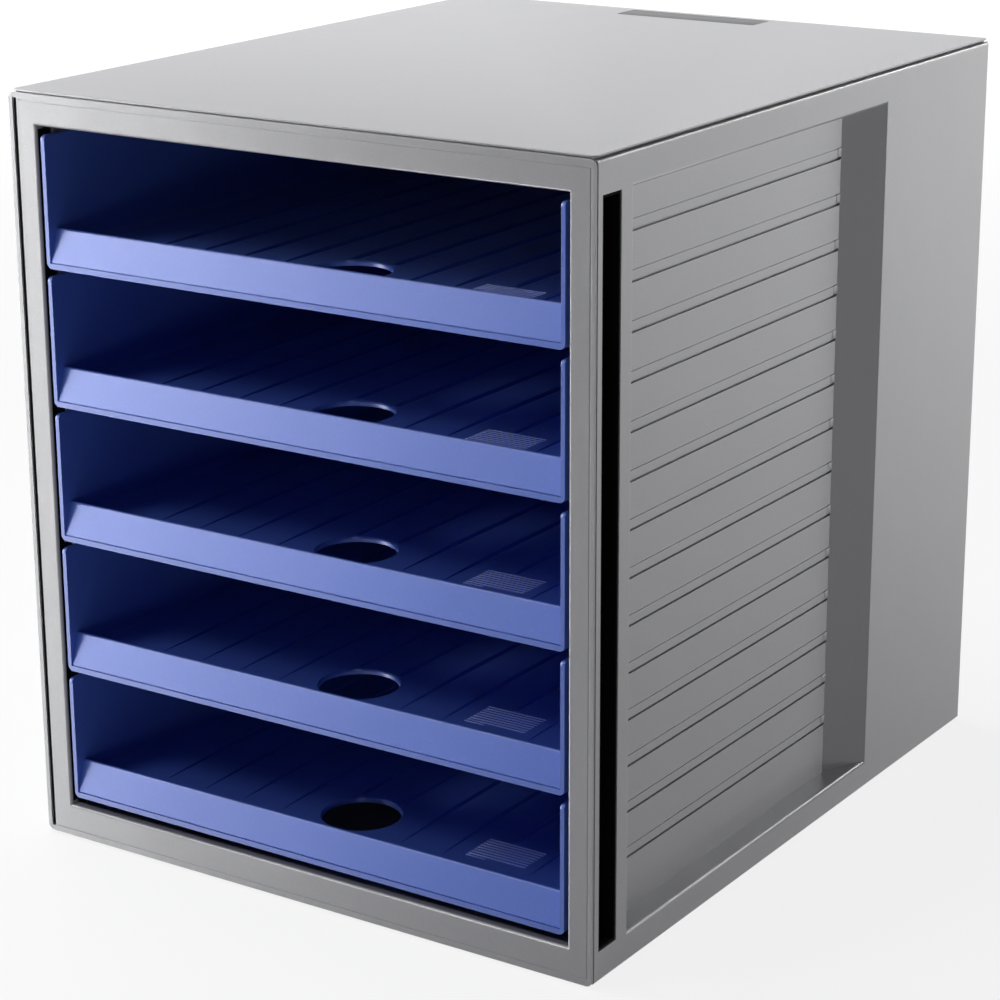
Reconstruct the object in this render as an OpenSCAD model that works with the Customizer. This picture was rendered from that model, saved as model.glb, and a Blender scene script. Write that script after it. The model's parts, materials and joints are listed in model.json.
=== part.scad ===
// Desktop file drawer: a grey moulded housing with five open drawers that slide out on ledges.
// Millimetres. +X is to the right seen from the front, +Y to the rear, +Z up.
// The origin is on the table, under the middle of the object.

/* [Housing] */
// Width over both side covers
width = 275; // [250:1:330]
// Depth from the front face to the rear face
depth = 330; // [310:1:400]
// Height without the feet
height = 320; // [290:1:400]
// Thickness of the covers and panels
skin = 2; // [1.8:0.1:2.4]
// Radius of the front frame's corners and of the rear corners
corner_r = 3; // [2.6:0.1:4]
// Radius of the side covers' long edges
cover_edge_r = 1.2; // [0.8:0.1:1.6]
// Distance from the side covers' upper edge to the top of the housing
cover_drop = 1.6; // [1.2:0.1:1.8]
// Distance from the side covers' lower edge to the foot of the housing
cover_lift = 0.6; // [0.2:0.1:1]
// Thickness of the lid's rim, which reaches over the covers
lid_rim_t = 0.6; // [0.5:0.1:0.8]
// Distance from the lid's rim to the side and rear faces
lid_inset = 1.1; // [0.8:0.1:2]
// Width of the shadow joints between the visible plates
joint_gap = 0.8; // [0.5:0.1:1]
// Clearance where one plate slips inside another
seat_gap = 0.2; // [0.1:0.05:0.3]
// Width of a side cover's return round the rear corner
rear_return = 6; // [5:0.5:10]
// Thickness of the rear panel's tongue behind the returns
tongue_t = 1.5; // [1:0.1:2]
// Width of the tongue's rim round the rear panel
tongue_w = 18; // [14:0.5:30]
// Width of the flanges that carry the top and base panels
flange_w = 4.5; // [3:0.1:6]
// Height of the ribs that hold the runner walls' edges
seat_rib_h = 3; // [2:0.5:5]
// Thickness of those ribs
seat_rib_t = 1.2; // [1:0.1:1.6]

/* [Front frame] */
// Height of the top rail
top_rail = 12.6; // [10:0.1:16]
// Height of the bottom rail
bottom_rail = 14.2; // [11:0.1:18]
// Width of the left post, which carries the groove
left_post = 13.7; // [12.5:0.1:18]
// Width of the right post
right_post = 11.1; // [10:0.1:14]
// Distance from the frame's upper edge to the top of the lid
frame_drop = 1.1; // [0.9:0.1:1.3]
// Thickness of the frame's outer edge
frame_edge_t = 0.7; // [0.6:0.1:1.2]
// Thickness of the frame's plate
frame_t = 2.6; // [2.2:0.1:3]
// Depth of the lip round the opening
lip_depth = 4.1; // [3.4:0.1:6]
// Thickness of that lip
lip_t = 1.6; // [1.2:0.1:2]
// Rounding of the opening's front edge
opening_rim_r = 1; // [0.4:0.1:1.5]
// Distance from the left edge to the groove
groove_inset = 2.1; // [1.9:0.1:2.6]
// Width of the groove
groove_w = 2; // [1.4:0.1:2.6]
// Distance from the groove's ends to the top and bottom edges
groove_end = 2.2; // [2:0.1:4]
// Depth at which the groove's black strip lies
groove_sight = 0.5; // [0.3:0.1:1.5]
// Distance from the upper and lower edges to the fine line in the face
line_inset = 2.7; // [2:0.1:3.5]
// Distance from the right edge to the fine line
line_side_inset = 1.9; // [1.4:0.1:3]
// Distance from the groove to the fine line beside it
line_groove_gap = 1.5; // [1:0.1:3]
// Width of the fine line
line_w = 0.6; // [0.3:0.05:0.8]
// Depth of the fine line
line_d = 0.25; // [0.1:0.05:0.4]

/* [Side covers] */
// Front edge of the grip recess
recess_front = 26; // [22:0.5:40]
// Length of the grip recess in the cover's face
recess_len = 203.5; // [120:0.5:240]
// Run of the recess's slanted rear wall along the cover
slant_run = 21.5; // [12:0.5:30]
// Bottom edge of the grip recess
recess_bottom = 13; // [10:0.5:30]
// Distance from the recess's top edge to the top of the housing
recess_top_gap = 14.8; // [12:0.1:30]
// Rounding of the recess's edges
recess_rim_r = 1.4; // [0.8:0.1:1.8]
// Front edge of the slot in the right cover
slot_front = 4.5; // [4:0.1:5]
// Width of the slot
slot_w = 12.9; // [8:0.1:15]
// Distance from the slot's ends to the top and bottom of the housing
slot_end = 13.3; // [10:0.1:30]
// Thickness of the black channel and strip
strip_t = 1; // [0.8:0.1:1.4]
// Depth at which the black channel's edge lies in the slot
strip_sight = 0.3; // [0.2:0.1:0.8]
// Width of the channel's flange behind the cover
strip_flange = 1; // [0.6:0.1:1.1]
// Clearance between the channel and the opening's lip
strip_gap = 0.9; // [0.4:0.1:1.5]

/* [Runner walls] */
// Thickness of a runner wall
runner_t = 1.2; // [1.2:0.1:1.6]
// Distance from the front face to a runner wall
runner_front = 9; // [7:0.5:12]
// Height of the slats on the outside
slat_proud = 0.8; // [0.7:0.1:1.2]
// Slats for each drawer
slats_per_drawer = 3; // [2:1:4]
// Width of the dark line between two slats
slat_gap = 1; // [0.6:0.1:2]
// Depth of the dark line between two slats
slat_gap_d = 1.3; // [0.6:0.1:1.4]
// Height of the band that a fine line sets off along each slat's lower edge
band_h = 3.8; // [2:0.1:6]
// Width and depth of that fine line
band_line = 0.4; // [0.2:0.05:0.6]
// Length of the notch at the rear end of each band
notch_len = 3; // [2:0.5:6]
// Thickness of the ledges
ledge_t = 1.6; // [1.2:0.1:1.8]
// Reach of the ledges under the drawers
ledge_reach = 6; // [4:0.5:10]
// Distance from the front face to the ledges
ledge_front = 14; // [12:1:24]
// Running clearance under a drawer
ledge_gap = 0.3; // [0.2:0.05:0.6]
// Gap between the opening's lip and the guide fingers
finger_gap = 0.4; // [0.2:0.1:1]
// Distance from the front face to the stop face of the guide fingers
finger_rear = 11; // [10:0.5:12]
// Height of a guide finger
finger_h = 3; // [2:0.5:4]

/* [Drawers] */
// Gap between a drawer's side and the edge of the opening
drawer_side_gap = 1.9; // [1.7:0.1:3]
// Running gap between a drawer's side and a runner wall
run_gap = 0.9; // [0.8:0.05:1]
// Running clearance beside the guide fingers and the catches
catch_gap = 0.3; // [0.2:0.05:0.35]
// Gap between two drawers
drawer_gap = 3.35; // [3:0.05:5]
// Gap below the lowest drawer
gap_below = 4.1; // [3:0.1:6]
// Gap above the highest drawer
gap_above = 3.5; // [2.5:0.1:6]
// Distance from the front face to the drawers' front
drawer_front = 0.5; // [0.2:0.1:2]
// Clearance between a drawer and the rear panel
rear_gap = 1; // [0.5:0.1:4]
// How far a drawer slides out to its stop
travel = 230; // [120:1:240]
// Thickness of a drawer's walls
wall_t = 1.8; // [1.4:0.1:2.2]
// Thickness of a drawer's floor
floor_t = 2; // [1.6:0.1:2.6]
// Height of the floor's top face above the drawer's lower edge
floor_rise = 7; // [5.5:0.1:9]
// Radius of the drawer's lower edges
drawer_r = 2.5; // [1.5:0.1:3]
// Radius of the walls' upper front corners
front_corner_r = 2.2; // [1:0.1:4]
// Radius where the floor meets the walls
floor_corner_r = 3; // [1:0.1:5]
// Height of the strip across the drawer's foot
strip_h = 2.3; // [1.6:0.1:3]
// Depth of that strip from front to back
strip_d = 3; // [2.6:0.1:4]
// Height of the lip's upper edge above the drawer's lower edge
lip_h = 16; // [12:0.1:24]
// Lean of the lip from upright, in degrees
lip_lean = 17; // [8:1:24]
// Thickness of the lip
lip_wall = 2; // [1.6:0.1:2.6]
// Step from the strip back to the foot of the lip
lip_step = 0.3; // [0.1:0.1:0.6]
// Height of the fine line between the strip and the lip
lip_line = 0.4; // [0.3:0.1:0.6]
// Diameter of the finger hole
hole_d = 33; // [24:1:40]
// Distance from the front face to the finger hole's centre
hole_y = 39; // [34:1:60]
// Bevel round the finger hole
hole_bevel = 0.6; // [0.3:0.1:0.9]
// Number of grooves in the floor
groove_count = 10; // [4:2:12]
// Distance between the floor's grooves
groove_pitch = 20.3; // [14:0.1:21]
// Width of a floor groove where it has its full depth
floor_groove_w = 6; // [3:0.5:8]
// Full depth of a floor groove
floor_groove_d = 1.2; // [0.6:0.1:1.3]
// Distance from the front face to where the grooves have no depth yet
groove_zero = 18; // [12:1:24]
// Length over which the grooves deepen from there
groove_ramp = 50; // [46:1:80]
// Distance from the front face to the front ends of the grooves
groove_front = 25; // [18:1:40]
// Distance from the rear wall to the rear ends of the grooves
groove_rear_gap = 12; // [6:1:40]
// Plain rim that the grooves leave round the hole
hole_rim = 3; // [2:0.5:6]
// Width of the plain field at the front right of the floor
field_w = 27; // [20:1:40]
// Distance from the field's centre to the drawer's centre line
field_x = 71.7; // [60:0.1:80]
// Distance from the front face to the field's rear edge
field_rear = 49; // [40:1:60]
// Length of a catch
catch_len = 4.5; // [3:0.5:8]

/* [Feet] */
// Diameter of a foot pad
foot_d = 18; // [12:1:24]
// How far the foot pads stand out under the housing
foot_proud = 1; // [0.6:0.1:2]
// Depth of the pocket that holds a foot pad
foot_pocket = 0.6; // [0.4:0.1:1]
// Distance from the side faces to a foot's centre
foot_inset_x = 22; // [16:1:40]
// Distance from the front and rear faces to a foot's centre
foot_inset_y = 24; // [18:1:40]

/* [Hidden] */
$fn = 48;
drawer_count = 5;
housing_grey = [0.74, 0.74, 0.75];
drawer_blue = [0.2, 0.28, 0.62];
trim_black = [0.04, 0.04, 0.04];
foot_grey = [0.2, 0.2, 0.2];
// How far a cutter runs past the face that it opens
over = 1;
// How much shallower the even part of a floor groove is than its ramp's end
groove_trim = 0.05;

half_w = width / 2;
// Centre line of the opening and of everything that stands in it
mid_x = (left_post - right_post) / 2;
open_hw = half_w - (left_post + right_post) / 2;
frame_z = height - frame_drop;
open_z = [bottom_rail, frame_z - top_rail];
// Front edge of the covers and panels, one joint behind the frame's outer edge
shell_y = frame_edge_t + joint_gap;
// Front face of the rear panel's tongue
tongue_y = depth - skin - tongue_t;

drawer_hw = open_hw - drawer_side_gap;
drawer_pitch = (open_z[1] - open_z[0] - gap_below - gap_above + drawer_gap) / drawer_count;
drawer_h = drawer_pitch - drawer_gap;
drawer_rear = tongue_y - rear_gap;
hole_r = hole_d / 2;
// Height at which the catches and the guide fingers meet, above the drawer's lower edge
catch_z = floor_rise - floor_t;
// Front face of the guide fingers
finger_front = lip_depth + finger_gap;

// Inner and outer faces of a runner wall, measured from mid_x
runner_x = drawer_hw + run_gap;
runner_out_x = runner_x + runner_t;
slat_x = runner_out_x + slat_proud;
recess_z = [recess_bottom, height - recess_top_gap];
recess_rear = recess_front + recess_len;
right_recess = half_w - slat_x - mid_x;
left_recess = half_w - slat_x + mid_x;
slat_pitch = drawer_pitch / slats_per_drawer;
slat_count = drawer_count * slats_per_drawer;

groove_x = groove_inset - half_w;
slot_z = [slot_end, frame_z - slot_end];

// Lower edge of drawer n, counted from 1 at the top
function drawer_z(n) = open_z[0] + gap_below + (drawer_count - n) * drawer_pitch;
// Middle of the dark line at the foot of slat i, counted from 0 at the bottom
function slat_line(i) = drawer_z(drawer_count) - drawer_gap / 2 + i * slat_pitch;
// Length of a slanted recess wall for each millimetre that it runs inwards
function slant_ratio(recess) = sqrt(1 + pow(slant_run / recess, 2));

// Puts what is drawn from the housing's front bottom centre into the part's own frame
module placed() translate([0, -depth / 2, foot_proud]) children();

// Carries an x-z outline from y0 to y1
module along_y(y0, y1) translate([0, y1, 0]) rotate([90, 0, 0]) linear_extrude(y1 - y0) children();

// Carries a y-z outline from x0 to x1
module along_x(x0, x1) translate([x0, 0, 0]) rotate([90, 0, 90]) linear_extrude(x1 - x0) children();

// Carries an x-y outline from z0 to z1
module along_z(z0, z1) translate([0, 0, z0]) linear_extrude(z1 - z0) children();

// Rectangle between two corners
module area(lo, hi) translate(lo) square(hi - lo);

// Rectangle between two corners, with all four corners rounded
module round_area(lo, hi, r) {
  area([lo[0] + r, lo[1]], [hi[0] - r, hi[1]]);
  area([lo[0], lo[1] + r], [hi[0], hi[1] - r]);
  for (x = [lo[0] + r, hi[0] - r], y = [lo[1] + r, hi[1] - r]) translate([x, y]) circle(r);
}

// Section of a cut from a to b with a rounded rim; the second axis runs into the material
module rimmed_cut(a, b, deep, r) {
  area([a, -over], [b, deep]);
  difference() {
    area([a - r, -over], [b + r, r]);
    for (edge = [a - r, b + r]) translate([edge, r]) circle(r);
  }
}

// Plan outline of the housing, drawn in by g, with rounded rear corners
module plan_outline(g) round_area([g - half_w, -depth], [half_w - g, depth - g], corner_r - g);

module front_frame() color(housing_grey) placed() difference() {
  union() {
    along_y(0, frame_edge_t) round_area([-half_w, 0], [half_w, frame_z], corner_r);
    along_y(frame_edge_t / 2, frame_t)
      area([groove_x + groove_w, skin + seat_gap],
           [half_w - skin - seat_gap, height - skin - seat_gap]);
    along_y(frame_t / 2, lip_depth)
      area([mid_x - open_hw - lip_t, open_z[0] - lip_t], [mid_x + open_hw + lip_t, open_z[1] + lip_t]);
  }
  intersection() {
    along_z(0, height) rimmed_cut(mid_x - open_hw, mid_x + open_hw, lip_depth + over, opening_rim_r);
    along_x(-half_w, half_w)
      mirror([1, -1]) rimmed_cut(open_z[0], open_z[1], lip_depth + over, opening_rim_r);
  }
  along_y(-over, frame_t + over)
    area([groove_x, groove_end], [groove_x + groove_w, frame_z - groove_end]);
  fine_line();
}

// Shallow line that runs round the frame's face, close to its edge
module fine_line() {
  lo = [groove_x + groove_w + line_groove_gap, line_inset];
  hi = [half_w - line_side_inset, frame_z - line_inset];
  along_y(-over, line_d) difference() {
    area(lo, hi);
    area(lo + [line_w, line_w], hi - [line_w, line_w]);
  }
}

// One side cover, drawn on the right, with a grip recess of the given depth
module side_cover(recess) difference() {
  union() {
    cover_shell();
    recess_walls(recess);
    cover_flanges();
  }
  recess_cut(recess);
}

// Outer skin with its rear return; the return leaves room for the top and base panels
module cover_shell() intersection() {
  along_y(shell_y, depth) round_area([-half_w, cover_lift], [half_w, height - cover_drop], cover_edge_r);
  difference() {
    along_z(0, height) intersection() {
      difference() {
        plan_outline(0);
        plan_outline(skin);
      }
      area([half_w - rear_return, 0], [half_w + over, depth + over]);
    }
    for (z = [-over, height - skin])
      along_z(z, z + skin + over) area([0, shell_y], [half_w - skin, depth + over]);
  }
}

// Flanges on the inside, under the top panel and over the base panel
module cover_flanges() for (z = [skin, height - 2 * skin])
  along_z(z, z + skin)
    area([half_w - skin - flange_w, lip_depth + skin], [half_w - skin / 2, tongue_y - joint_gap]);

// Plan of a grip recess between two x positions, grown evenly by g
module recess_plan(recess, x0, x1, g) {
  function rear_y(x) = recess_rear + g * slant_ratio(recess) - (half_w - x) * slant_run / recess;
  polygon([[x0, recess_front - g], [x1, recess_front - g], [x1, rear_y(x1)], [x0, rear_y(x0)]]);
}

// Rounding where the recess's slanted rear wall meets the cover's face
module slant_rim(recess, r) {
  slope = recess * slant_ratio(recess);
  centre = [half_w - r, recess_rear + r * (slope - slant_run) / recess];
  touch = centre + r * [slant_run, -recess] / slope;
  difference() {
    polygon([[half_w + over, recess_rear], [half_w + over, centre[1]], centre, touch]);
    translate(centre) circle(r);
  }
}

// Rounding along the recess's front edge
module front_rim(r) difference() {
  area([half_w - r, recess_front - r], [half_w + over, recess_front]);
  translate([half_w - r, recess_front - r]) circle(r);
}

// Walls that line the grip recess, from the skin to the slats
module recess_walls(recess)
  along_z(recess_z[0] - skin, recess_z[1] + skin)
    recess_plan(recess, half_w - recess, half_w - skin / 2, skin);

module recess_cut(recess) intersection() {
  along_z(recess_z[0] - 2 * recess_rim_r, recess_z[1] + 2 * recess_rim_r) {
    recess_plan(recess, half_w - recess - over, half_w + over, 0);
    slant_rim(recess, recess_rim_r);
    front_rim(recess_rim_r);
  }
  along_y(0, depth) translate([half_w, 0])
    rotate(90) rimmed_cut(recess_z[0], recess_z[1], recess + over, recess_rim_r);
}

module right_side_cover() color(housing_grey) placed() difference() {
  side_cover(right_recess);
  along_z(slot_z[0], slot_z[1])
    area([half_w - 2 * skin, slot_front], [half_w + over, slot_front + slot_w]);
}

module left_side_cover() color(housing_grey) placed() mirror([1, 0, 0]) side_cover(left_recess);

// Flat plate between the side covers
module cover_plate(t) along_z(0, t)
  area([skin + joint_gap - half_w, shell_y], [half_w - skin - joint_gap, depth - lid_inset]);

// Ribs on both sides of each runner wall's edge, from z0 to z1
module seat_ribs(z0, z1) {
  faces = [runner_x - seat_gap - seat_rib_t, runner_out_x + seat_gap];
  for (side = [-1, 1], x = faces * side)
    along_z(z0, z1) translate([mid_x + x - (side < 0 ? seat_rib_t : 0), 0])
      area([0, runner_front + seat_rib_h], [seat_rib_t, tongue_y - seat_rib_h]);
}

// Lid on the covers' flanges, with a thin rim that reaches over the covers' edges
module top_panel() color(housing_grey) placed() {
  translate([0, 0, height - skin]) cover_plate(skin - lid_rim_t / 2);
  along_z(height - lid_rim_t, height) intersection() {
    plan_outline(lid_inset);
    area([-half_w, frame_edge_t], [half_w, depth]);
  }
  seat_ribs(height - skin - seat_rib_h, height - skin / 2);
}

module base_panel() color(housing_grey) placed() difference() {
  union() {
    cover_plate(skin);
    seat_ribs(skin / 2, skin + seat_rib_h);
  }
  for (x = [-1, 1], y = [0, 1]) foot_place(x, y)
    translate([0, 0, -over]) cylinder(h = over + foot_pocket, d = foot_d + 2 * seat_gap);
}

// Plate between the covers' returns, with a tongue that lies behind them
module rear_panel() color(housing_grey) placed() {
  plate_hw = half_w - rear_return - joint_gap / 2;
  tongue_hw = half_w - corner_r - seat_gap;
  along_y(depth - skin, depth) area([-plate_hw, skin], [plate_hw, height - skin]);
  along_y(tongue_y, depth - skin / 2) difference() {
    area([-plate_hw, skin], [plate_hw, height - skin]);
    area([tongue_w - tongue_hw, skin + tongue_w], [tongue_hw - tongue_w, height - skin - tongue_w]);
  }
  along_y(tongue_y, depth - skin) difference() {
    area([-tongue_hw, skin], [tongue_hw, height - skin]);
    area([tongue_w - tongue_hw, skin + tongue_w], [tongue_hw - tongue_w, height - skin - tongue_w]);
  }
}

// One runner wall, drawn on the right of the drawers' centre line
module runner_wall() {
  difference() {
    union() {
      along_y(runner_front, tongue_y) area([runner_x, skin], [runner_out_x, height - skin]);
      slats();
    }
    slat_lines();
  }
  for (n = [1 : drawer_count]) {
    ledge(drawer_z(n) - ledge_gap);
    guide_finger(drawer_z(n) + catch_z - finger_h / 2);
  }
}

// Slats on the outside, from the recess's front wall to behind its slanted wall
module slats() {
  slat_rear = recess_rear - slant_run + skin * slant_ratio(right_recess);
  along_y(recess_front - skin, slat_rear) area([runner_x, recess_z[0] - skin], [slat_x, recess_z[1] + skin]);
}

// Dark and fine lines across the slats, and the notches at the bands' rear ends
module slat_lines() for (i = [1 : slat_count - 1]) {
  foot = slat_line(i) + slat_gap / 2;
  notch_y = recess_rear - slant_run;
  along_y(recess_front - skin - over, notch_y + over) {
    area([slat_x - slat_gap_d, foot - slat_gap], [slat_x + over, foot]);
    area([slat_x - band_line, foot + band_h - band_line / 2], [slat_x + over, foot + band_h + band_line / 2]);
  }
  along_y(notch_y - notch_len, notch_y + over)
    area([slat_x - 2 * band_line, foot - slat_gap / 2], [slat_x + over, foot + band_h]);
}

// Ledge that carries a drawer's side, with a chamfered front end
module ledge(top) along_z(top - ledge_t, top) polygon([
  [runner_out_x - runner_t / 2, ledge_front],
  [runner_x, ledge_front],
  [runner_x - ledge_reach, ledge_front + ledge_reach],
  [runner_x - ledge_reach, tongue_y],
  [runner_out_x - runner_t / 2, tongue_y]
]);

// Finger that guides a drawer's side and stops its catch
module guide_finger(z) along_z(z, z + finger_h) polygon([
  [runner_out_x, finger_front],
  [runner_x - catch_gap, finger_front],
  [drawer_hw + catch_gap, finger_front + 2 * (run_gap - 2 * catch_gap)],
  [drawer_hw + catch_gap, finger_rear],
  [runner_out_x, finger_rear]
]);

module right_runner_wall() color(housing_grey) placed() translate([mid_x, 0, 0]) runner_wall();

module left_runner_wall() color(housing_grey) placed()
  translate([mid_x, 0, 0]) mirror([1, 0, 0]) runner_wall();

// Black strip behind the groove of the front frame, with a tongue that lies in the groove
module left_groove_strip() color(trim_black) placed()
  along_z(groove_end + seat_gap, frame_z - groove_end - seat_gap) {
    area([groove_x + seat_gap, groove_sight], [groove_x + groove_w - seat_gap, frame_t + strip_t / 2]);
    area([groove_x + seat_gap / 2, frame_t], [groove_x + groove_w + skin, frame_t + strip_t]);
  }

// Black channel that lines the slot, with a flange behind the cover
module right_slot_strip() color(trim_black) placed() {
  lo = [slot_front + seat_gap, slot_z[0] + seat_gap];
  hi = [slot_front + slot_w - seat_gap, slot_z[1] - seat_gap];
  floor_x = half_w - right_post + lip_t + strip_gap;
  rim = [strip_flange, strip_flange];
  wall = [strip_t, strip_t];
  difference() {
    union() {
      along_x(floor_x, half_w - strip_sight) area(lo, hi);
      along_x(half_w - skin - strip_t, half_w - skin) area(lo - rim, hi + rim);
    }
    along_x(floor_x + strip_t, half_w + over) area(lo + wall, hi - wall);
  }
}

// Moves what it holds to a foot's place: x is -1 or 1, y is 0 at the front and 1 at the rear
module foot_place(x, y)
  translate([x * (half_w - foot_inset_x), y == 0 ? foot_inset_y : depth - foot_inset_y, 0]) children();

module foot(x, y) color(foot_grey) placed() foot_place(x, y)
  translate([0, 0, -foot_proud]) cylinder(h = foot_proud + foot_pocket, d = foot_d);

// Drawer n, counted from 1 at the top
module drawer(n) color(drawer_blue) placed() translate([mid_x, 0, drawer_z(n)]) difference() {
  union() {
    drawer_body();
    for (side = [0, 1]) mirror([side, 0, 0]) catch();
  }
  drawer_inside();
  drawer_underside();
  lip_front();
  finger_hole();
  floor_grooves();
}

// Outside of a drawer: its front outline, cut to the side outline of its walls
module drawer_body() intersection() {
  along_y(drawer_front, drawer_rear) {
    round_area([-drawer_hw, 0], [drawer_hw, drawer_h - wall_t / 2], drawer_r);
    area([-drawer_hw, drawer_r], [drawer_hw, drawer_h - wall_t / 2]);
    for (x = [-1, 1]) translate([x * (drawer_hw - wall_t / 2), drawer_h - wall_t / 2]) circle(wall_t / 2);
  }
  along_x(-drawer_hw, drawer_hw) {
    round_area([drawer_front, 0], [drawer_rear, drawer_h], front_corner_r);
    area([drawer_front, 0], [drawer_rear, drawer_h / 2]);
  }
}

// Side outline of the leaning lip, with its round upper edge
module lip_outline() {
  reach = (lip_h - lip_wall / 2 - strip_h + lip_wall / 2 * sin(lip_lean)) / cos(lip_lean);
  translate([drawer_front + lip_step, strip_h]) rotate(-lip_lean) {
    area([0, -strip_h], [lip_wall, reach]);
    translate([lip_wall / 2, reach]) circle(lip_wall / 2);
  }
}

// Space above the floor, behind the lip
module drawer_inside() intersection() {
  inside_hw = drawer_hw - wall_t;
  along_y(0, depth)
    round_area([-inside_hw, floor_rise], [inside_hw, drawer_h + 2 * floor_corner_r], floor_corner_r);
  along_x(-drawer_hw, drawer_hw) difference() {
    area([-over, 0], [drawer_rear - wall_t, drawer_h + over]);
    lip_outline();
  }
}

// Space under the floor, between the skirts
module drawer_underside()
  along_z(-over, floor_rise - floor_t)
    area([wall_t - drawer_hw, drawer_front + strip_d], [drawer_hw - wall_t, drawer_rear - wall_t]);

// Space in front of the lip, between the walls, with the fine line at its foot
module lip_front() {
  foot_y = drawer_front + lip_step;
  lean_y = (drawer_h - strip_h) * tan(lip_lean);
  along_x(wall_t - drawer_hw, drawer_hw - wall_t) {
    difference() {
      polygon([[-over, strip_h], [foot_y, strip_h], [foot_y + lean_y, drawer_h], [-over, drawer_h]]);
      lip_outline();
    }
    area([-over, strip_h], [foot_y + lip_line, strip_h + lip_line]);
  }
}

module finger_hole() translate([0, hole_y, 0]) {
  cylinder(h = floor_rise + over, r = hole_r);
  translate([0, 0, floor_rise - hole_bevel])
    cylinder(h = 2 * hole_bevel, r1 = hole_r, r2 = hole_r + 2 * hole_bevel);
}

// Where a floor groove at x starts: behind the hole, behind the plain field, or at the front
function groove_start(x) =
  abs(x) < hole_r + hole_rim ? hole_y + sqrt(pow(hole_r + hole_rim, 2) - x * x) :
  abs(x - field_x) < field_w / 2 ? field_rear : groove_front;

// Section of a floor groove above its bottom line, up to height h
module groove_section(h) {
  mouth = h * floor_groove_w / floor_groove_d / 2;
  polygon([[-mouth, h], [mouth, h], [0, 0]]);
}

// V-shaped grooves that run from front to rear; they deepen and widen along a ramp, then stay even
module floor_grooves() for (i = [0 : groove_count - 1]) {
  x = (i - (groove_count - 1) / 2) * groove_pitch;
  fall = atan(floor_groove_d / groove_ramp);
  ramp_end = groove_zero + groove_ramp;
  translate([x, groove_zero, floor_rise]) rotate([-fall, 0, 0])
    along_y(groove_start(x) - groove_zero, groove_ramp) groove_section(floor_groove_d + over);
  translate([x, 0, floor_rise - floor_groove_d + groove_trim])
    along_y(max(ramp_end - over, groove_start(x)), drawer_rear - wall_t - groove_rear_gap)
      groove_section(floor_groove_d + over);
}

// Catch on a drawer's side: a steep face towards the front and a ramp towards the rear
module catch() {
  face_y = finger_rear + travel + catch_gap;
  tip_x = drawer_hw + run_gap - catch_gap;
  along_z(catch_z - finger_h / 2, catch_z + finger_h / 2) polygon([
    [drawer_hw - wall_t / 2, face_y],
    [tip_x, face_y],
    [tip_x, face_y + catch_len / 3],
    [drawer_hw, face_y + catch_len],
    [drawer_hw - wall_t / 2, face_y + catch_len]
  ]);
}

front_frame();
top_panel();
base_panel();
rear_panel();
left_side_cover();
right_side_cover();
left_runner_wall();
right_runner_wall();
left_groove_strip();
right_slot_strip();
foot(-1, 0);  // foot_front_left
foot(1, 0);  // foot_front_right
foot(-1, 1);  // foot_rear_left
foot(1, 1);  // foot_rear_right
drawer(1);  // drawer_1
drawer(2);  // drawer_2
drawer(3);  // drawer_3
drawer(4);  // drawer_4
drawer(5);  // drawer_5
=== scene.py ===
import bpy
import bmesh
import json
import math
from mathutils import Matrix, Vector


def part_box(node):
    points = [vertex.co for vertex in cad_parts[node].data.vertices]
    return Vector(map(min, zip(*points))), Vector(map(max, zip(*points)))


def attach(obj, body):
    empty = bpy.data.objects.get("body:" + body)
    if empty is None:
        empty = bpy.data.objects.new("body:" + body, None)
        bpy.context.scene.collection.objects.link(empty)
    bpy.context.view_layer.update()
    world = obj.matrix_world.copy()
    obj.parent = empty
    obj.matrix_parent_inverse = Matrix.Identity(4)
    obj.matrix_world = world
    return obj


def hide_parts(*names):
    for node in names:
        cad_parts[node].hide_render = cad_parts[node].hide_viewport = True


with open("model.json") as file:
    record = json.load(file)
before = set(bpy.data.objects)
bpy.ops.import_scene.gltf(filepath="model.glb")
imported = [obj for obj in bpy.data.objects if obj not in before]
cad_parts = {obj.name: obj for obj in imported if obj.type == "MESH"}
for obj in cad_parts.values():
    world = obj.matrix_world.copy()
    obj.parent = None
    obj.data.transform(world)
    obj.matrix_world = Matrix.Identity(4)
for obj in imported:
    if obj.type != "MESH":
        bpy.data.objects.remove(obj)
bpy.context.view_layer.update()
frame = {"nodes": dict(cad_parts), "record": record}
nodes = frame["nodes"]
bodies = frame["record"]["behaviour"]["bodies"]
bodyOf = {node: body for body, members in bodies.items() for node in members}
drawers = sorted(node for node in nodes if node.startswith("drawer_"))  # from the top one down
print("frame loaded:", len(nodes), "nodes")

# Metres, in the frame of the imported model: +X is right, +Z is up, and the drawers open towards -Y.


class Value:
    # a socket that can be calculated with: each operator adds a Math node
    def __init__(self, tree, socket):
        self.tree = tree
        self.socket = socket

    def calculate(self, operation, first, second):
        maths = self.tree.nodes.new("ShaderNodeMath")
        maths.operation = operation
        for place, term in enumerate((first, second)):
            if isinstance(term, Value):
                self.tree.links.new(term.socket, maths.inputs[place])
            else:
                maths.inputs[place].default_value = term
        return Value(self.tree, maths.outputs[0])

    def __add__(self, other):
        return self.calculate("ADD", self, other)

    def __radd__(self, other):
        return self.calculate("ADD", other, self)

    def __mul__(self, other):
        return self.calculate("MULTIPLY", self, other)

    def __rmul__(self, other):
        return self.calculate("MULTIPLY", other, self)


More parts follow.
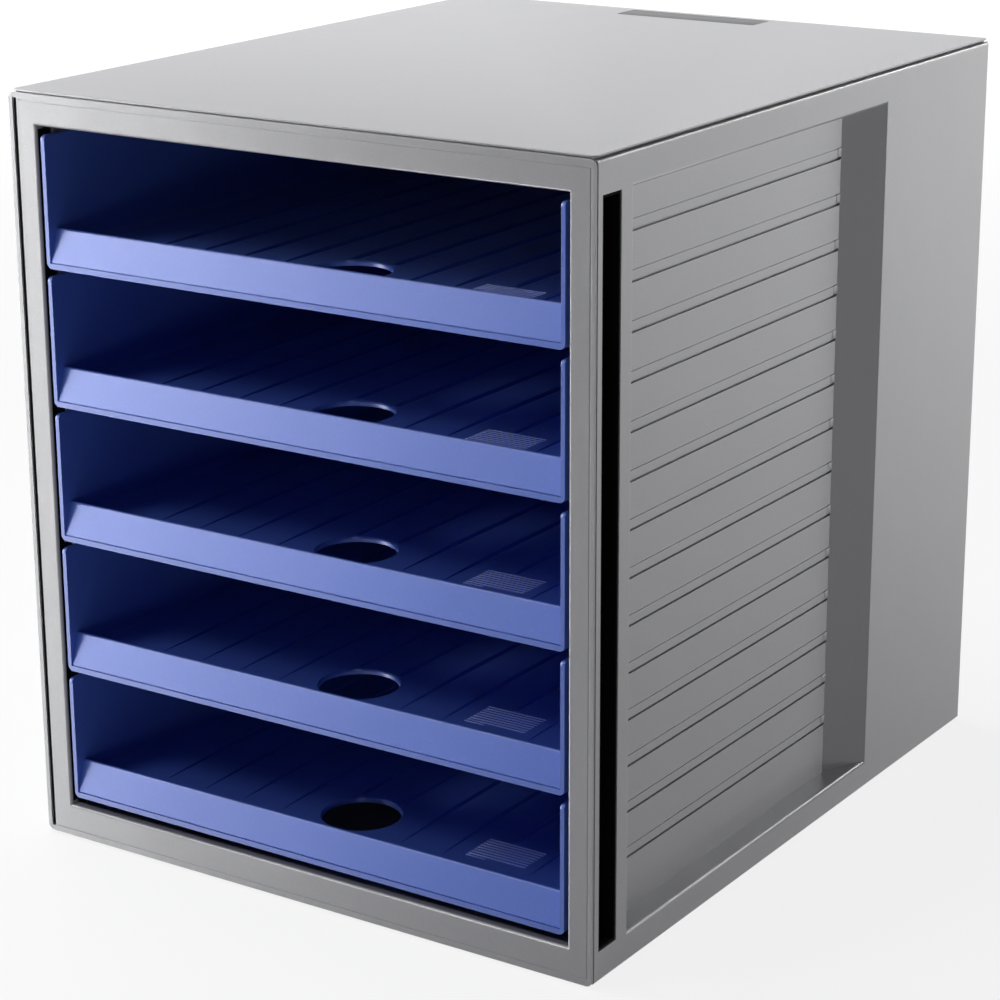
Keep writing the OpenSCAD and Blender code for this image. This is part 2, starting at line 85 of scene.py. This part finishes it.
class Network:
    # the nodes of a material or of the world; add() makes every node but the Math nodes
    def __init__(self, owner):
        owner.use_nodes = True
        self.tree = owner.node_tree

    def add(self, kind, settings=None, sockets=None, output=0):
        node = self.tree.nodes.new("ShaderNode" + kind)
        for name, setting in (settings or {}).items():
            setattr(node, name, setting)
        self.fill(node, sockets or {})
        return Value(self.tree, node.outputs[output])

    def fill(self, node, sockets):
        for name, term in sockets.items():
            if isinstance(term, Value):
                self.tree.links.new(term.socket, node.inputs[name])
            else:
                node.inputs[name].default_value = term

    def show(self, shade):
        for node in self.tree.nodes:
            if node.type.startswith("OUTPUT"):
                self.fill(node, {"Surface": shade})


class Finish(Network):
    # one procedural material
    def __init__(self, name):
        self.material = bpy.data.materials.new(name)
        super().__init__(self.material)
        self.shader = self.tree.nodes["Principled BSDF"]
        self.place = self.add("TexCoord", output="Object")

    def noise(self, scale, detail, roughness=0.5):
        return self.add("TexNoise", sockets={"Vector": self.place, "Scale": scale, "Detail": detail,
                                             "Roughness": roughness})

    def blend(self, share, first, second):
        return self.add("Mix", {"data_type": "RGBA"}, {0: share, 6: first, 7: second}, output=2)

    def ramp(self, value, low, high):
        # 0 below low and 1 above high, straight between
        return self.add("MapRange", {"clamp": True}, {"Value": value, "From Min": low, "From Max": high})

    def bump(self, height, depth, under=None):
        sockets = {"Height": height, "Distance": depth, "Strength": 1.0}
        if under is not None:
            sockets["Normal"] = under
        return self.add("Bump", sockets=sockets)


mouldTexture = {"cloudDetail": 3, "grainDetail": 2, "grainRoughness": 0.6, "fleckDetail": 1,
                "fleckFrom": 0.58, "fleckTo": 0.72, "cloudShare": 0.5, "grainShare": 0.5}


def mouldedPlastic(look):
    # spark-eroded mould texture: fine grain over slow waves, and a little change of tone and gloss
    texture = mouldTexture
    finish = Finish(look["name"])
    cloud = finish.noise(look["cloudScale"], texture["cloudDetail"])
    grain = finish.noise(look["grainScale"], texture["grainDetail"], texture["grainRoughness"])
    flecks = finish.noise(look["fleckScale"], texture["fleckDetail"])
    flecks = finish.ramp(flecks, texture["fleckFrom"], texture["fleckTo"])
    tone = finish.blend(cloud, look["dark"], look["light"])
    tone = finish.blend(flecks * look["fleckShare"], tone, look["fleck"])
    waves = finish.bump(cloud, look["waveDepth"])
    skin = finish.bump(grain, look["grainDepth"], under=waves)
    dull, shiny = look["roughness"]
    wear = texture["cloudShare"] * cloud + texture["grainShare"] * grain
    finish.fill(finish.shader, {"Base Color": tone, "Roughness": shiny + (dull - shiny) * wear,
                                "Specular IOR Level": look["gloss"], "Normal": skin})
    return finish.material


housingLook = {"name": "housingPlastic", "light": (0.390, 0.390, 0.412, 1), "dark": (0.362, 0.362, 0.384, 1),
               "fleck": (0.48, 0.48, 0.49, 1), "fleckShare": 0.3, "fleckScale": 1700, "cloudScale": 14,
               "grainScale": 1500, "grainDepth": 0.00004, "waveDepth": 0.0004,
               "roughness": (0.33, 0.26), "gloss": 0.5}
drawerLook = {"name": "drawerPlastic", "light": (0.068, 0.135, 0.51, 1), "dark": (0.061, 0.122, 0.48, 1),
              "fleck": (0.10, 0.18, 0.64, 1), "fleckShare": 0.25, "fleckScale": 1100, "cloudScale": 11,
              "grainScale": 1600, "grainDepth": 0.00002, "waveDepth": 0.0003,
              "roughness": (0.42, 0.3), "gloss": 0.5}
trimLook = {"name": "trimPlastic", "light": (0.004, 0.004, 0.004, 1), "dark": (0.003, 0.003, 0.003, 1),
            "fleck": (0.006, 0.006, 0.006, 1), "fleckShare": 0.3, "fleckScale": 900, "cloudScale": 30,
            "grainScale": 1500, "grainDepth": 0.00003, "waveDepth": 0.0001,
            "roughness": (0.8, 0.7), "gloss": 0.02}
padLook = {"name": "padRubber", "light": (0.035, 0.035, 0.036, 1), "dark": (0.022, 0.022, 0.023, 1),
           "fleck": (0.06, 0.06, 0.06, 1), "fleckShare": 0.5, "fleckScale": 700, "cloudScale": 60,
           "grainScale": 500, "grainDepth": 0.0002, "waveDepth": 0.0002,
           "roughness": (0.95, 0.8), "gloss": 0.3}
badgeLook = {"name": "badgeFoil", "light": (0.028, 0.030, 0.034, 1), "dark": (0.020, 0.021, 0.024, 1),
             "fleck": (0.05, 0.05, 0.055, 1), "fleckShare": 0.4, "fleckScale": 1400, "cloudScale": 25,
             "grainScale": 2500, "grainDepth": 0.00001, "waveDepth": 0.0001,
             "roughness": (0.4, 0.28), "gloss": 0.5}
# the drawers' plastic painted paler on the fine ribs: a painted highlight where the ribs catch the light
ribHighlightLook = {**drawerLook, "name": "ribPlastic", "light": (0.22, 0.29, 0.68, 1), "dark": (0.19, 0.26, 0.64, 1),
           "fleck": (0.30, 0.36, 0.74, 1)}

finishes = {"housing": mouldedPlastic(housingLook), "drawers": mouldedPlastic(drawerLook),
            "trim": mouldedPlastic(trimLook), "feet": mouldedPlastic(padLook)}
badgeFoil = mouldedPlastic(badgeLook)
ribPlastic = mouldedPlastic(ribHighlightLook)
slotOf = {part["node"]: part["material_slot"] for part in frame["record"]["subparts"]}
for name, node in nodes.items():
    node.data.materials.clear()
    node.data.materials.append(finishes[slotOf[name]])
print("finishes made")

# metres and degrees: how loose triangles are merged and how a moulding's edges are rounded and shaded
moulding = {"tiny": 0.000001, "weld": 0.000005, "flatAngle": 0.2, "sharpAngle": 38, "smoothAngle": 32,
            "segments": 2, "normalWeight": 100, "smallPartAngle": 40}


def pickOnly(piece):
    bpy.ops.object.select_all(action="DESELECT")
    piece.select_set(True)
    bpy.context.view_layer.objects.active = piece


def copyPiece(piece, name):
    # the same shape again, with its own mesh
    twin = bpy.data.objects.new(name, piece.data.copy())
    bpy.context.scene.collection.objects.link(twin)
    return twin


def joinPieces(parts, smoothAngle):
    # makes one piece of several, under the first one's name
    bpy.ops.object.select_all(action="DESELECT")
    for part in parts:
        part.select_set(True)
    bpy.context.view_layer.objects.active = parts[0]
    bpy.ops.object.join()
    bpy.ops.object.shade_smooth_by_angle(angle=math.radians(smoothAngle))
    return parts[0]


def applyModifier(piece, kind, **settings):
    modifier = piece.modifiers.new(kind.lower(), kind)
    for name, setting in settings.items():
        setattr(modifier, name, setting)
    bpy.ops.object.modifier_apply(modifier=modifier.name)


def addBlock(name, low, high):
    # a block between two corners, to be shaped further
    low, high = Vector(low), Vector(high)
    bpy.ops.object.select_all(action="DESELECT")
    bpy.ops.mesh.primitive_cube_add(size=1, location=(low + high) / 2)
    block = bpy.context.object
    block.name = name
    block.dimensions = high - low
    bpy.ops.object.transform_apply(location=True, rotation=False, scale=True)
    return block


def bevelEdges(piece, wanted, offset, segments):
    # rounds the edges that wanted() picks
    pickOnly(piece)
    bpy.ops.object.mode_set(mode="EDIT")
    bpy.ops.mesh.select_mode(type="EDGE")
    bpy.ops.mesh.select_all(action="DESELECT")
    mesh = bmesh.from_edit_mesh(piece.data)
    for edge in mesh.edges:
        edge.select_set(wanted(edge))
    bmesh.update_edit_mesh(piece.data)
    bpy.ops.mesh.bevel(offset=offset, segments=segments)
    bpy.ops.mesh.select_mode(type="VERT")
    bpy.ops.object.mode_set(mode="OBJECT")


def isUpright(edge):
    return (edge.verts[0].co - edge.verts[1].co).xy.length < moulding["tiny"]


def joinFlat(piece):
    # merges loose triangles and joins the faces that lie flat against each other
    pickOnly(piece)
    bpy.ops.object.mode_set(mode="EDIT")
    bpy.ops.mesh.select_all(action="SELECT")
    bpy.ops.mesh.remove_doubles(threshold=moulding["weld"])
    bpy.ops.mesh.dissolve_limited(angle_limit=math.radians(moulding["flatAngle"]))
    bpy.ops.object.mode_set(mode="OBJECT")


lidRim = {"corner": (0.136, -0.164), "round": 0.0026, "segments": 6}
faceLine = {"low": (-0.1322, -0.165, 0.0043), "high": (-0.1311, -0.1645, 0.3166)}


def roundLidCorners(lid):
    # the lid's front corners follow the rounded corners of the front frame
    across, front = lidRim["corner"]

    def isFrontCorner(edge):
        place = edge.verts[0].co
        return isUpright(edge) and abs(place.x) > across and place.y < front

    bevelEdges(lid, isFrontCorner, lidRim["round"], lidRim["segments"])


def closeFaceLine(front):
    # the left side of the fine line on the frame's face is filled: only the groove shows there
    filler = addBlock("lineFiller", faceLine["low"], faceLine["high"])
    pickOnly(front)
    applyModifier(front, "BOOLEAN", operation="UNION", object=filler, solver="EXACT")
    bpy.data.objects.remove(filler)
    joinFlat(front)


grooves = {"count": 10, "pitch": 0.0203, "middle": 0.0013, "floorRise": 0.007, "shallowest": 0.00002,
           "deepest": 0.00125, "start": -0.147, "rowReach": 0.005, "lean": 2.0, "deepen": 1.25}


def leanGrooves(drawer):
    # the bottom line of each V-shaped floor groove moves to the left, which makes its left side steep
    look = grooves
    top = min(vertex.co.z for vertex in drawer.data.vertices) + look["floorRise"]
    for vertex in drawer.data.vertices:
        depth = top - vertex.co.z
        row = (vertex.co.x - look["middle"]) / look["pitch"] + (look["count"] - 1) / 2
        isBottom = look["shallowest"] < depth < look["deepest"] and abs(row - round(row)) < look["rowReach"]
        if isBottom and vertex.co.y > look["start"]:
            vertex.co.x -= look["lean"] * depth
            vertex.co.z = top - look["deepen"] * depth


reshapes = {"top_panel": roundLidCorners, "front_frame": closeFaceLine,
            **{drawer: leanGrooves for drawer in drawers}}
# how far each moulding's sharp edges are rounded
edges = {"front_frame": 0.0004, "top_panel": 0.0002, "right_side_cover": 0.0003, "left_side_cover": 0.0003,
         "base_panel": 0.0003, "rear_panel": 0.0004, "right_runner_wall": 0.00012,
         "left_runner_wall": 0.00012, "right_slot_strip": 0.0002, "left_groove_strip": 0.0001,
         **{drawer: 0.0005 for drawer in drawers}, "foot_front_left": 0.0003, "foot_front_right": 0.0003,
         "foot_rear_left": 0.0003, "foot_rear_right": 0.0003}


def pieceName(node):
    # the CAD node's name in this script's own spelling: drawer_1 becomes drawer1
    first, *rest = node.split("_")
    return first + "".join(word.capitalize() for word in rest)


def keepInside(piece, box):
    # no rounded corner reaches past the CAD piece
    for vertex in piece.data.vertices:
        vertex.co = [min(max(place, low), high) for place, low, high in zip(vertex.co, *box)]


def mouldedCopy(node, edge):
    # a copy of the CAD mesh, merged, its flat faces joined, and its edges rounded as a mould leaves them
    piece = copyPiece(nodes[node], pieceName(node))
    pickOnly(piece)
    bpy.ops.mesh.customdata_custom_splitnormals_clear()
    joinFlat(piece)
    if node in reshapes:
        reshapes[node](piece)
    applyModifier(piece, "BEVEL", width=edge, segments=moulding["segments"], limit_method="ANGLE",
                  angle_limit=math.radians(moulding["sharpAngle"]), loop_slide=False)
    keepInside(piece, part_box(node))
    bpy.ops.object.shade_smooth_by_angle(angle=math.radians(moulding["smoothAngle"]))
    applyModifier(piece, "WEIGHTED_NORMAL", keep_sharp=True, mode="FACE_AREA",
                  weight=moulding["normalWeight"])
    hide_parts(node)
    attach(piece, bodyOf[node])
    return piece


pieces = {node: mouldedCopy(node, edge) for node, edge in edges.items()}
print("mouldings rounded")

ribField = {"centre": (0.0735, -0.126), "size": (0.027, 0.016), "ribs": 8, "ribWidth": 0.0007,
            "height": 0.00032, "round": 0.4, "barWidth": 0.009, "barGap": 0.0016, "floorRise": 0.007}


def addRib(centre, size, height):
    # a low rib with rounded upper edges
    half = Vector((size[0] / 2, size[1] / 2, height))
    rib = addBlock("rib", Vector((*centre, 0)) - half, Vector((*centre, 0)) + half)
    bevelEdges(rib, lambda edge: min(end.co.z for end in edge.verts) > 0, ribField["round"] * height,
               moulding["segments"])
    return rib


def addRibField():
    # fine parallel ribs at the right of a drawer's floor, with a short bar in front of them
    look = ribField
    width, depth = look["size"]
    step = (depth - look["ribWidth"]) / (look["ribs"] - 1)
    front = look["centre"][1] - depth / 2
    ribs = [addRib((look["centre"][0], front + look["ribWidth"] / 2 + row * step),
                   (width, look["ribWidth"]), look["height"]) for row in range(look["ribs"])]
    ribs.append(addRib((look["centre"][0] - width / 2 + look["barWidth"] / 2, front - look["barGap"]),
                       (look["barWidth"], look["ribWidth"]), look["height"]))
    field = joinPieces(ribs, moulding["smallPartAngle"])
    # the paler copy of the drawers' plastic: painted highlight on the ribs
    field.data.materials.append(ribPlastic)
    return field


firstField = addRibField()
fields = [firstField] + [copyPiece(firstField, "ribField") for drawer in drawers[1:]]
for number, field in enumerate(fields, 1):
    field.name = f"ribField{number}"
    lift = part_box(f"drawer_{number}")[0].z + ribField["floorRise"]
    field.data.transform(Matrix.Translation((0, 0, lift)))
    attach(field, f"drawer_{number}")
print("rib fields placed")

badge = {"left": -0.042, "right": 0.030, "front": 0.1445, "rear": 0.1600, "pocket": 0.0003,
         "thickness": 0.00022, "gap": 0.0002, "round": 0.0012, "segments": 5, "above": 0.001,
         "rim": 0.00006, "rimAngle": 60}


def addBadge():
    # a bare dark plate let into the lid near its rear edge
    look = badge
    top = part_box("top_panel")[1].z
    centre = ((look["left"] + look["right"]) / 2, (look["front"] + look["rear"]) / 2)
    width, depth = look["right"] - look["left"], look["rear"] - look["front"]

    def slab(name, grow, bottom, upper):
        reach = Vector((width / 2 + grow, depth / 2 + grow))
        low, high = Vector(centre) - reach, Vector(centre) + reach
        block = addBlock(name, (*low, bottom), (*high, upper))
        bevelEdges(block, isUpright, look["round"] + grow, look["segments"])
        return block

    cutter = slab("badgePocket", look["gap"], top - look["pocket"], top + look["above"])
    lid = pieces["top_panel"]
    pickOnly(lid)
    applyModifier(lid, "BOOLEAN", operation="DIFFERENCE", object=cutter, solver="EXACT")
    bpy.data.objects.remove(cutter)
    plate = slab("topBadge", 0, top - look["pocket"], top - look["pocket"] + look["thickness"])
    plate.data.materials.append(badgeFoil)
    pickOnly(plate)
    applyModifier(plate, "BEVEL", width=look["rim"], segments=moulding["segments"], limit_method="ANGLE",
                  angle_limit=math.radians(look["rimAngle"]))
    bpy.ops.object.shade_smooth_by_angle(angle=math.radians(moulding["smoothAngle"]))
    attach(plate, "housing")


addBadge()
print("badge plate let in")

slatEnd = {"long": (0.0399, 0.0438), "foot": -0.001075, "height": 0.0037, "sink": 0.0010,
           "proud": 0.00015, "round": 0.00025, "perDrawer": 3}


def addSlatEnds(side):
    # the small ends of the slats' bands, at the rear of a grip recess: one is shaped and copied
    look = slatEnd
    low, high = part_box(f"{side}_runner_wall")
    outer, inward = (high.x, -1) if side == "right" else (low.x, 1)
    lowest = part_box("drawer_5")[0].z + look["foot"]
    step = (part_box("drawer_4")[0].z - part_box("drawer_5")[0].z) / look["perDrawer"]
    reach = sorted((outer + inward * look["sink"], outer - inward * look["proud"]))
    first = addBlock(f"{side}SlatEnds", (reach[0], look["long"][0], lowest + step),
                     (reach[1], look["long"][1], lowest + step + look["height"]))
    bevelEdges(first, lambda edge: True, look["round"], moulding["segments"])
    ends = [first]
    for row in range(1, len(drawers) * look["perDrawer"] - 1):
        end = copyPiece(first, "slatEnd")
        end.data.transform(Matrix.Translation((0, 0, row * step)))
        ends.append(end)
    joinPieces(ends, moulding["smallPartAngle"])
    first.data.materials.append(finishes["housing"])
    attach(first, "housing")


for side in ("right", "left"):
    addSlatEnds(side)
print("slat ends added")

# where the black strip of painted shade sits, in the frame's left post
shadeStrip = {"low": (-0.1239, -0.1638, 0.0166), "high": (-0.12365, -0.1611, 0.3058), "round": 0.00008}


def addShadeStrip():
    # thin black strip inside the frame's left post, where the photograph shows black beside the drawers:
    # painted shade for the dark gap there, not a real part
    strip = addBlock("openingLiner", shadeStrip["low"], shadeStrip["high"])
    bevelEdges(strip, lambda edge: True, shadeStrip["round"], moulding["segments"])
    strip.data.materials.append(finishes["trim"])
    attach(strip, "housing")


addShadeStrip()
print("opening lined")

cameraView = {"sensor": 36, "focalPixels": 2872.7, "imagePixels": 1000, "yaw": 0.5856, "pitch": 0.3049,
              "roll": -0.005, "place": (0.655, -1.007, 0.507)}


def addCamera():
    view = cameraView
    bpy.ops.object.camera_add(location=view["place"])
    camera = bpy.context.object
    camera.data.sensor_width = view["sensor"]
    camera.data.lens = view["sensor"] * view["focalPixels"] / view["imagePixels"]
    turn = Matrix.Rotation(view["yaw"], 4, "Z") @ Matrix.Rotation(math.pi / 2 - view["pitch"], 4, "X")
    camera.matrix_world = Matrix.Translation(view["place"]) @ turn @ Matrix.Rotation(view["roll"], 4, "Z")
    bpy.context.scene.camera = camera


# soft boxes; one hidden from diffuse rays only shows in the gloss, and one hidden from glossy rays never does
lamps = [
    {"name": "frontLeftBox", "place": (-0.95, -1.10, 0.70), "target": (0.0, -0.16, 0.20), "size": (0.6, 0.6),
     "power": 2.5, "hidden": ("diffuse",)},
    {"name": "upperBox", "place": (-0.6, 0.0, 1.35), "target": (0, 0, 0.3), "size": (1.0, 1.2),
     "power": 18.5},
    {"name": "upperFrontBox", "place": (-0.55, -1.0, 1.15), "target": (0.0, -0.16, 0.2), "size": (0.5, 0.4),
     "power": 3.8},
    {"name": "rearRightBox", "place": (1.15, 2.1, 0.35), "target": (0.13, 0.1, 0.2), "size": (1.2, 0.5),
     "power": 15, "hidden": ("glossy",)},
    {"name": "frontRightBox", "place": (0.8, -1.5, 0.12), "target": (0.0, -0.16, 0.12), "size": (0.8, 0.2),
     "power": 1.6, "hidden": ("glossy",)},
]
# cards that only show in the gloss of the plastic; from one height down to another they fade to the backdrop
cards = [
    {"name": "frontLeftCard", "place": (-1.52, -1.10, 0.0), "target": (0.0, -0.16, 0.0), "size": (1.0, 2.6),
     "strength": 18, "fade": (0.0, -1.6)},
    {"name": "rearRightCard", "place": (1.35, 2.56, 0.0), "target": (0.13, 0.1, 0.0), "size": (3.6, 3.2),
     "strength": 3.2, "fade": (0.0, -1.1)},
    {"name": "rearLeftCard", "place": (-1.9, 1.05, -0.6), "target": (0.1, -0.16, -0.6), "size": (0.9, 1.6),
     "strength": 18, "fade": (-1.5, -1.6)},
    {"name": "rearUpperCard", "place": (0.95, 2.0, 1.25), "target": (0.137, 0.0, 0.32), "size": (1.4, 0.4),
     "strength": 16, "fade": (0.2, 0.1)},
]


def addLamp(name, place, target, size, power, hidden=()):
    bpy.ops.object.light_add(type="AREA", location=place)
    lamp = bpy.context.object
    lamp.name = name
    lamp.data.shape = "RECTANGLE"
    lamp.data.size, lamp.data.size_y = size
    lamp.data.energy = power
    for ray in ("camera", *hidden):
        setattr(lamp, "visible_" + ray, False)
    lamp.rotation_euler = (Vector(target) - Vector(place)).to_track_quat("-Z", "Y").to_euler()


def addCard(name, place, target, size, strength, fade):
    bpy.ops.object.select_all(action="DESELECT")
    bpy.ops.mesh.primitive_plane_add(size=1)
    card = bpy.context.object
    card.name = name
    turn = (Vector(target) - Vector(place)).to_track_quat("-Z", "Y").to_matrix().to_4x4()
    card.data.transform(Matrix.Translation(place) @ turn @ Matrix.Diagonal((*size, 1, 1)))
    paint = Finish(name)
    height = paint.add("SeparateXYZ", sockets={"Vector": paint.place}, output="Z")
    roomShare = 1 / strength
    upper, lower = fade
    tone = paint.blend(paint.ramp(height, lower, upper), (roomShare, roomShare, roomShare, 1), (1, 1, 1, 1))
    paint.show(paint.add("Emission", sockets={"Color": tone, "Strength": strength}))
    paint.material.cycles.emission_sampling = "NONE"
    card.data.materials.append(paint.material)
    for ray in ("camera", "diffuse", "transmission", "volume_scatter", "shadow"):
        setattr(card, "visible_" + ray, False)


roomLook = {"ambient": (0.04, 0.04, 0.041, 1), "backdrop": (1, 1, 1, 1)}
floorLook = {"half": 15.0, "light": (0.62, 0.62, 0.62, 1), "dark": (0.59, 0.59, 0.59, 1), "fibreScale": 40,
             "fibreDetail": 4, "roughness": 0.9, "glow": 0.78, "white": 1.08, "clear": (0.7, 2.2)}


def addRoom():
    world = bpy.data.worlds.new("studio")
    bpy.context.scene.world = world
    studio = Network(world)
    ambient = studio.add("Background", sockets={"Color": roomLook["ambient"]})
    backdrop = studio.add("Background", sockets={"Color": roomLook["backdrop"]})
    seen = studio.add("LightPath", output="Is Camera Ray") + studio.add("LightPath", output="Is Glossy Ray")
    seen = seen + studio.add("LightPath", output="Is Transmission Ray")
    studio.show(studio.add("MixShader", sockets={0: seen, 1: ambient, 2: backdrop}))


def addFloor():
    # matt paper that looks white to the camera and still takes the object's shadow
    look = floorLook
    bpy.ops.object.select_all(action="DESELECT")
    bpy.ops.mesh.primitive_plane_add(size=2 * look["half"])
    floor = bpy.context.object
    floor.name = "floor"
    paper = Finish("floorPaper")
    fibres = paper.noise(look["fibreScale"], look["fibreDetail"])
    tone = paper.blend(fibres, look["dark"], look["light"])
    paper.fill(paper.shader, {"Base Color": tone, "Roughness": look["roughness"], "Specular IOR Level": 0.0})
    glow = paper.add("Emission", sockets={"Strength": look["white"]})
    away = paper.add("VectorMath", {"operation": "LENGTH"}, {0: paper.place}, output="Value")
    clear = paper.ramp(away, *look["clear"])  # only glow far from the object, so that no horizon shows
    share = paper.add("LightPath", output="Is Camera Ray") * (look["glow"] + (1 - look["glow"]) * clear)
    matt = Value(paper.tree, paper.shader.outputs[0])
    paper.show(paper.add("MixShader", sockets={0: share, 1: matt, 2: glow}))
    floor.data.materials.append(paper.material)
    floor.visible_glossy = False


addCamera()
addRoom()
addFloor()
for lamp in lamps:
    addLamp(**lamp)
for card in cards:
    addCard(**card)
bpy.context.scene.view_settings.view_transform = "Standard"
print("camera, room and lamps placed")
